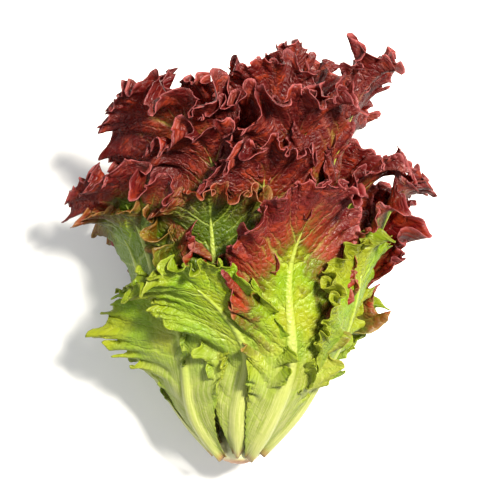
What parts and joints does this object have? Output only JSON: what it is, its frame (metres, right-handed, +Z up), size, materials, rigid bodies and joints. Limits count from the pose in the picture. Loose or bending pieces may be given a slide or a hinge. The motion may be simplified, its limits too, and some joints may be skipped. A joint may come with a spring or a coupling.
{
  "type": "red leaf lettuce",
  "caption": "Whole loose-leaf lettuce head lying on its side: cut butt, pale ribs, green outer leaves and frilly dark red leaf tops.",
  "frame": {"origin": "centre of the bounding box's bottom face, on the surface that the head lies on", "axes": "+Y from the cut butt to the leaf tips, +Z up from the surface towards the side that the picture shows, +X to the picture's right"},
  "size_m": [0.2431, 0.2816, 0.1355],
  "materials": {
    "stem": "moist cut stem, matte",
    "leaf_green": "fresh leaf, satin",
    "leaf_red_green": "fresh leaf, satin",
    "leaf_red": "fresh leaf, satin"
  },
  "bodies": {
    "root": {"crown_far_right": "leaf_red", "crown_front": "leaf_red", "crown_front_left": "leaf_red", "crown_front_right": "leaf_red", "crown_left": "leaf_red", "crown_low": "leaf_red", "crown_low_left": "leaf_red", "crown_low_right": "leaf_red", "crown_mid_left": "leaf_red", "crown_mid_right": "leaf_red", "crown_right": "leaf_red", "heart_left": "leaf_red", "heart_low": "leaf_red", "heart_right": "leaf_red", "heart_up": "leaf_red", "outer_front": "leaf_green", "outer_left": "leaf_green", "outer_low": "leaf_green", "outer_low_left": "leaf_green", "outer_low_right": "leaf_green", "outer_right": "leaf_green", "stem_core": "stem", "tall_front": "leaf_red_green", "tall_front_right": "leaf_red_green", "tall_left": "leaf_red_green", "tall_left_up": "leaf_red_green", "tall_low": "leaf_red_green", "tall_low_left": "leaf_red_green", "tall_low_right": "leaf_red_green", "tall_right": "leaf_red_green", "tall_right_up": "leaf_red_green"}
  },
  "joints": []
}
